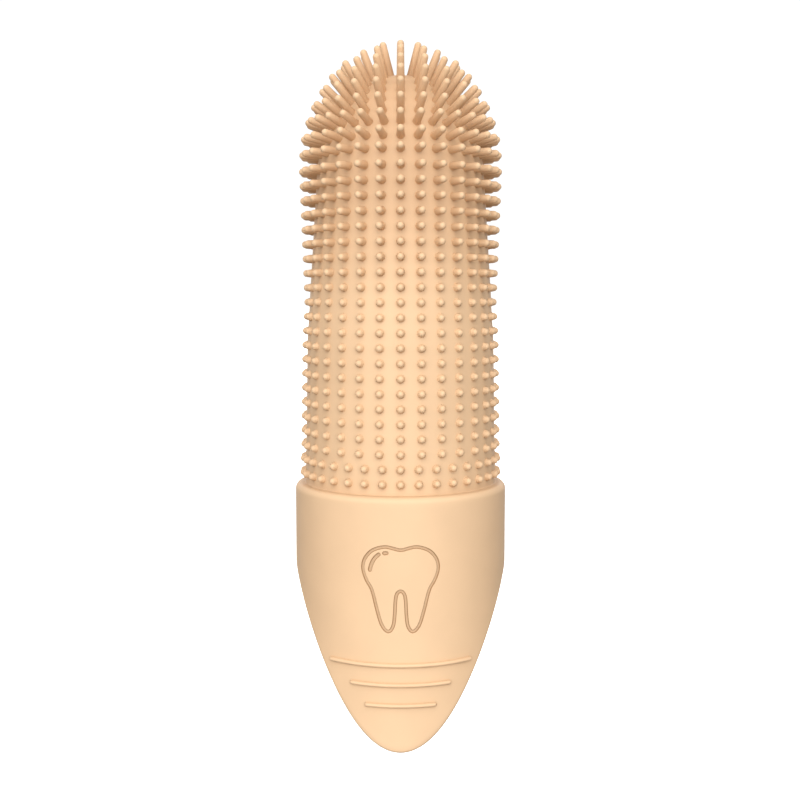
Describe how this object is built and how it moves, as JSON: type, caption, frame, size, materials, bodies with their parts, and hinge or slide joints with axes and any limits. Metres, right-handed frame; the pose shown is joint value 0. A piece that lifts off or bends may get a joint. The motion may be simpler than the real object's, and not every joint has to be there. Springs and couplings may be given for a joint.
{
  "type": "finger toothbrush for pets",
  "caption": "Soft silicone finger sleeve covered in rings of bristles, with a smooth collar and a pointed pull tab, for brushing a pet's teeth.",
  "frame": {"origin": "centre of the finger bore's mouth, level with the collar's lower edge", "axes": "+Z along the finger bore towards the bristled tip; -Y is the front, where the pull tab and its ribs are; +X to the right seen from the front"},
  "size_m": [0.0242, 0.0243, 0.0773],
  "materials": {
    "silicone": "matte, soft-touch moulded silicone"
  },
  "bodies": {
    "sleeve": {"finger_sleeve": "silicone", "sleeve_tip": "silicone", "collar": "silicone", "left_skirt": "silicone", "right_skirt": "silicone", "close_ring_1": "silicone", "close_ring_2": "silicone", "sleeve_ring_1": "silicone", "sleeve_ring_2": "silicone", "sleeve_ring_3": "silicone", "sleeve_ring_4": "silicone", "sleeve_ring_5": "silicone", "sleeve_ring_6": "silicone", "sleeve_ring_7": "silicone", "sleeve_ring_8": "silicone", "sleeve_ring_9": "silicone", "sleeve_ring_10": "silicone", "sleeve_ring_11": "silicone", "sleeve_ring_12": "silicone", "sleeve_ring_13": "silicone", "sleeve_ring_14": "silicone", "sleeve_ring_15": "silicone", "sleeve_ring_16": "silicone", "sleeve_ring_17": "silicone", "sleeve_ring_18": "silicone", "sleeve_ring_19": "silicone", "sleeve_ring_20": "silicone", "tip_ring_1": "silicone", "tip_ring_2": "silicone", "tip_ring_3": "silicone", "tip_ring_4": "silicone", "tip_ring_5": "silicone", "tip_ring_6": "silicone", "tip_ring_7": "silicone", "tip_ring_8": "silicone", "tip_ring_9": "silicone", "tip_ring_10": "silicone"},
    "tab": {"pull_tab": "silicone", "upper_grip_rib": "silicone", "middle_grip_rib": "silicone", "lower_grip_rib": "silicone"}
  },
  "joints": [
    {"name": "tab_bend", "type": "hinge", "parent": "sleeve", "child": "tab", "pos_m": [0, -0.01205, -0.007], "axis": [-1, 0, 0], "range_deg": [-15, 60], "stiffness_Nm_per_rad": 0.003}
  ]
}
